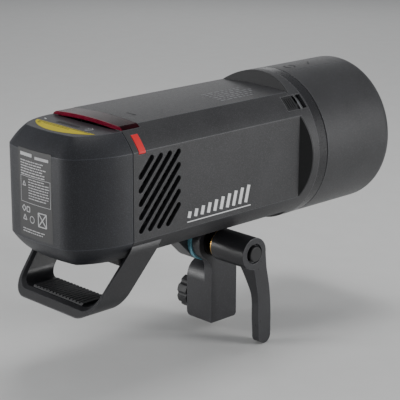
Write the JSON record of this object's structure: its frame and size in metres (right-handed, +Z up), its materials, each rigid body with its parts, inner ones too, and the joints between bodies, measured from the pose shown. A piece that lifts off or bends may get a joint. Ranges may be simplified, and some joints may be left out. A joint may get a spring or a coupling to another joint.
{
  "type": "battery monolight strobe",
  "caption": "Battery flash head with capped bayonet front, slide-off battery, carry handle and tilting stand bracket with clamp lever.",
  "frame": {"origin": "centre of the stand socket's mouth, on the socket axis", "axes": "+Z up along the socket, -Y the way the flash fires, +X to the control panel side"},
  "size_m": [0.128, 0.3446, 0.2144],
  "materials": {
    "case_charcoal": "fine speckled satin coating",
    "cap_charcoal": "fine speckled satin",
    "battery_grey": "fine textured satin",
    "ring_black": "smooth satin",
    "soft_black": "matte moulding",
    "rubber_black": "matte rubber",
    "steel": "turned",
    "zinc": "plated",
    "aluminium": "milled",
    "reflector": "polished reflector",
    "dome_glass": "clear borosilicate",
    "tube_glass": "quartz tube",
    "lamp_yellow": "phosphor lens",
    "ceramic": "ceramic",
    "can_sleeve": "shrink sleeve",
    "board_green": "solder mask",
    "copper_coil": "lacquered winding",
    "contact_gold": "gold plated",
    "lens_red": "smoked red lens",
    "button_red": "bright red",
    "panel_black": "satin panel",
    "window": "tinted window",
    "key_grey": "silicone key",
    "handle_grey": "satin cast",
    "block_grey": "satin cast",
    "friction_blue": "friction disc",
    "ring_gold": "anodised gold",
    "lever_black": "smooth nylon",
    "brass_pad": "turned brass",
    "cell_wrap": "cell wrap"
  },
  "bodies": {
    "stand": {"stand_block": "block_grey", "friction_ring": "friction_blue", "clamp_stud": "zinc", "thrust_washer": "steel", "indicator_ring": "ring_gold"},
    "head": {"main_housing": "case_charcoal", "side_shoulder_inserts": "soft_black", "top_shoulder_inserts": "soft_black", "front_bezel": "ring_black", "bayonet_ring": "steel", "front_bulkhead": "aluminium", "reflector_pan": "reflector", "dome_seal": "rubber_black", "glass_dome": "dome_glass", "tube_base": "ceramic", "flash_tube": "tube_glass", "tube_sockets": "ceramic", "modelling_lamp": "lamp_yellow", "lamp_heatsink": "aluminium", "flash_capacitors": "can_sleeve", "capacitor_clamp": "soft_black", "power_board": "board_green", "charge_transformer": "copper_coil", "chassis_rods": "steel", "fan_frame": "soft_black", "vent_screens": "soft_black", "rear_bulkhead": "soft_black", "battery_terminals": "contact_gold", "slave_lens": "lens_red", "slave_sensor": "board_green", "side_panel": "panel_black", "display_window": "window", "control_board": "board_green", "port_sockets": "soft_black", "carry_handle": "handle_grey", "grip_pad": "rubber_black", "handle_rail": "soft_black", "tilt_bracket": "block_grey", "base_screws": "zinc"},
    "lever": {"clamp_lever": "lever_black"},
    "lever_push": {"lever_button": "soft_black"},
    "pad": {"screw_pad": "brass_pad"},
    "knob": {"socket_knob": "rubber_black"},
    "cap": {"front_cap": "cap_charcoal"},
    "battery": {"battery_case": "battery_grey", "battery_front": "battery_grey", "battery_contacts": "contact_gold", "battery_cells": "cell_wrap", "battery_board": "board_green", "level_window": "window"},
    "level_key": {"level_button": "key_grey"},
    "release": {"release_slider": "soft_black"},
    "battery_release": {"battery_button": "button_red"},
    "dial": {"control_dial": "soft_black"},
    "test_key": {"test_button": "key_grey"},
    "key_1": {"soft_key_1": "key_grey"},
    "key_2": {"soft_key_2": "key_grey"},
    "port_door": {"port_cover": "rubber_black"},
    "fan": {"fan_rotor": "soft_black"}
  },
  "joints": [
    {"name": "head_tilt", "type": "hinge", "parent": "stand", "child": "head", "pos_m": [0, 0.0125, 0.0725], "axis": [1, 0, 0], "range_deg": [-75, 60]},
    {"name": "lever_turn", "type": "hinge", "parent": "stand", "child": "lever", "pos_m": [-0.043, 0.0125, 0.0725], "axis": [1, 0, 0], "range_deg": [-90, 10]},
    {"name": "lever_button_press", "type": "slide", "parent": "lever", "child": "lever_push", "axis": [1, 0, 0], "range_m": [0, 0.0018], "stiffness_N_per_m": 600},
    {"name": "knob_turn", "type": "hinge", "parent": "pad", "child": "knob", "pos_m": [0.02, 0, 0.0165], "axis": [-1, 0, 0], "range_deg": [0, 360]},
    {"name": "pad_travel", "type": "slide", "parent": "stand", "child": "pad", "axis": [-1, 0, 0], "range_m": [0, 0.00125]},
    {"name": "cap_lift_off", "type": "slide", "parent": "head", "child": "cap", "axis": [0, -1, 0], "range_m": [0, 0.12]},
    {"name": "battery_slide_off", "type": "slide", "parent": "head", "child": "battery", "axis": [0, 1, 0], "range_m": [0, 0.08]},
    {"name": "level_button_press", "type": "slide", "parent": "battery", "child": "level_key", "axis": [0, 0, -1], "range_m": [0, 0.0008], "stiffness_N_per_m": 400},
    {"name": "release_slide", "type": "slide", "parent": "head", "child": "release", "axis": [0, -1, 0], "range_m": [0, 0.0055], "stiffness_N_per_m": 400},
    {"name": "battery_button_press", "type": "slide", "parent": "head", "child": "battery_release", "axis": [0.7793, 0, -0.6266], "range_m": [0, 0.0015], "stiffness_N_per_m": 500},
    {"name": "dial_turn", "type": "hinge", "parent": "head", "child": "dial", "pos_m": [0.053, -0.001, 0.1498], "axis": [1, 0, 0], "continuous": true},
    {"name": "test_button_press", "type": "slide", "parent": "head", "child": "test_key", "axis": [-1, 0, 0], "range_m": [0, 0.001], "stiffness_N_per_m": 400},
    {"name": "key_1_press", "type": "slide", "parent": "head", "child": "key_1", "axis": [-1, 0, 0], "range_m": [0, 0.001], "stiffness_N_per_m": 400},
    {"name": "key_2_press", "type": "slide", "parent": "head", "child": "key_2", "axis": [-1, 0, 0], "range_m": [0, 0.001], "stiffness_N_per_m": 400},
    {"name": "port_cover_hinge", "type": "hinge", "parent": "head", "child": "port_door", "pos_m": [0.05265, -0.0397, 0.1419], "axis": [0, 0, -1], "range_deg": [0, 95]},
    {"name": "fan_spin", "type": "hinge", "parent": "head", "child": "fan", "pos_m": [-0.038, 0.1035, 0.1419], "axis": [1, 0, 0], "continuous": true}
  ],
  "couplings": [
    {"joint": "pad_travel", "follows": "knob_turn", "m_per_rad": 0.00019894}
  ]
}
